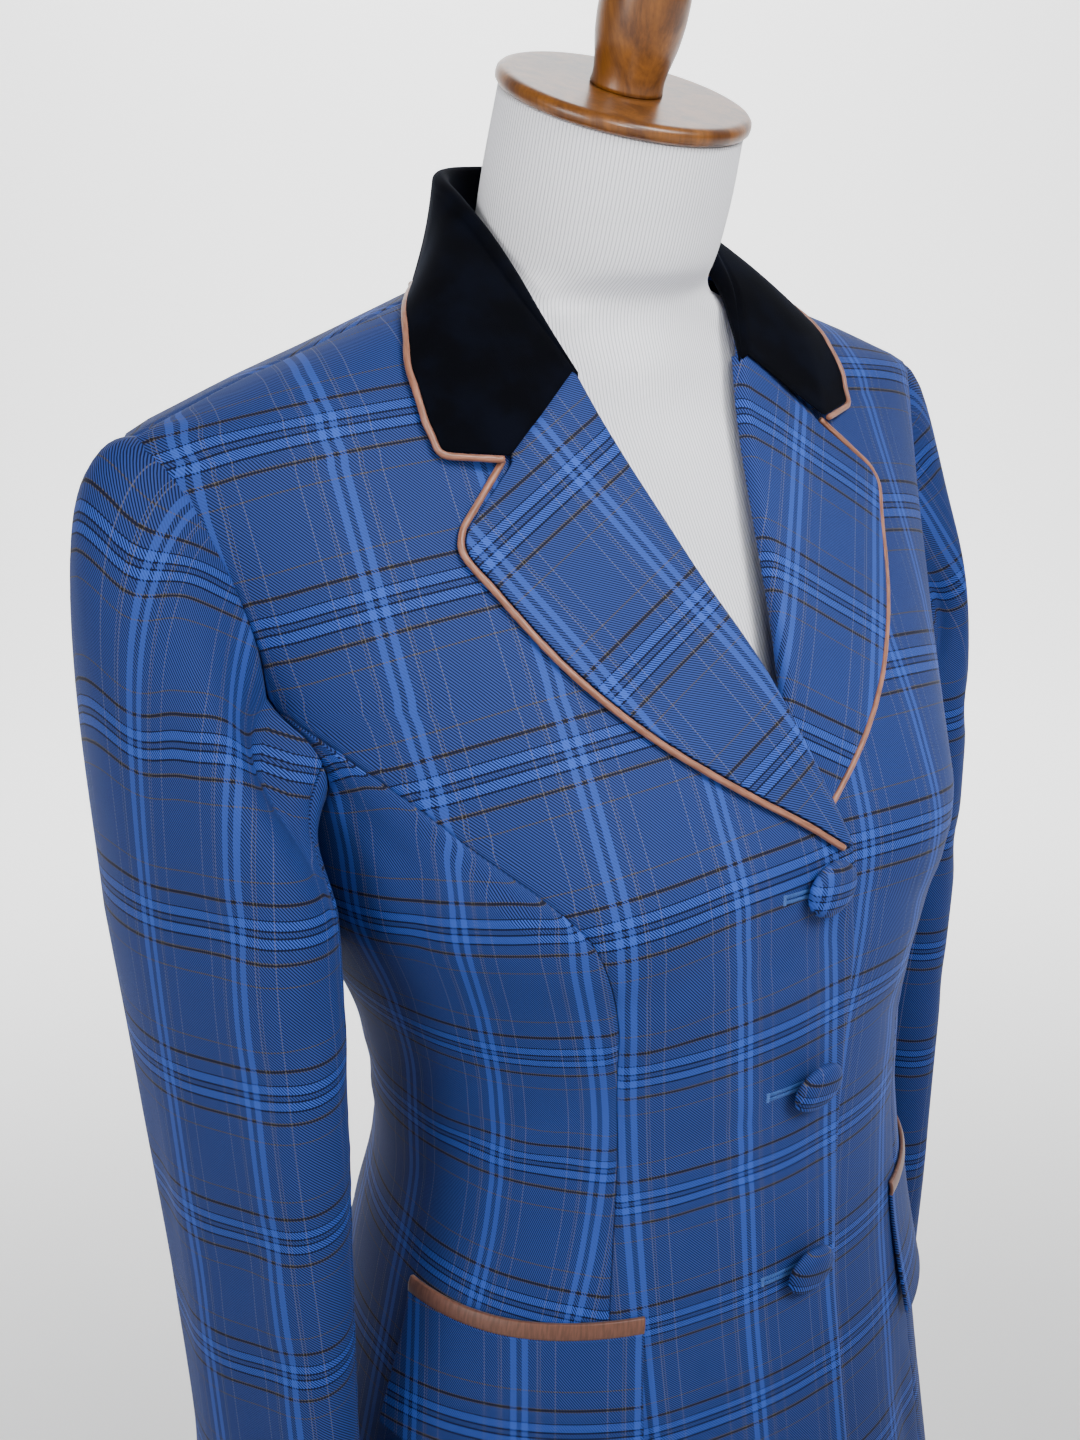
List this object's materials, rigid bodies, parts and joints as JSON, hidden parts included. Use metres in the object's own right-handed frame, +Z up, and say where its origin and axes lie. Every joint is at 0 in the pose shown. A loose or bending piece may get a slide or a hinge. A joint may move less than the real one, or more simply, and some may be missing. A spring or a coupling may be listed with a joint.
{
  "type": "riding show coat on a dress form",
  "caption": "Fitted riding show coat in blue checked worsted with a black velvet collar, copper satin piping and flap pockets, buttoned on a limbless dress form with a round base.",
  "frame": {"origin": "on the floor, at the middle of the underside of the stand's base", "axes": "+Z up, the coat faces -Y, its own right side is at -X"},
  "size_m": [0.4472, 0.33, 0.9728],
  "materials": {
    "checked_cloth": "woven worsted twill with a check",
    "velvet": "cut pile velvet",
    "piping": "satin",
    "form_cover": "fine ribbed ticking",
    "wood": "stained and waxed"
  },
  "bodies": {
    "root": {"front_right": "checked_cloth", "front_left": "checked_cloth", "side_right": "checked_cloth", "side_left": "checked_cloth", "back_right": "checked_cloth", "back_left": "checked_cloth", "top_sleeve_right": "checked_cloth", "under_sleeve_right": "checked_cloth", "top_sleeve_left": "checked_cloth", "under_sleeve_left": "checked_cloth", "lapel_right": "checked_cloth", "lapel_left": "checked_cloth", "pocket_flap_right": "checked_cloth", "pocket_flap_left": "checked_cloth", "button_1": "checked_cloth", "button_2": "checked_cloth", "button_3": "checked_cloth", "collar": "velvet", "collar_piping": "piping", "lapel_piping_right": "piping", "lapel_piping_left": "piping", "pocket_welt_right": "piping", "pocket_welt_left": "piping", "form_torso": "form_cover", "neck_cap": "wood", "finial": "wood", "pole": "wood", "base": "wood"}
  },
  "joints": []
}
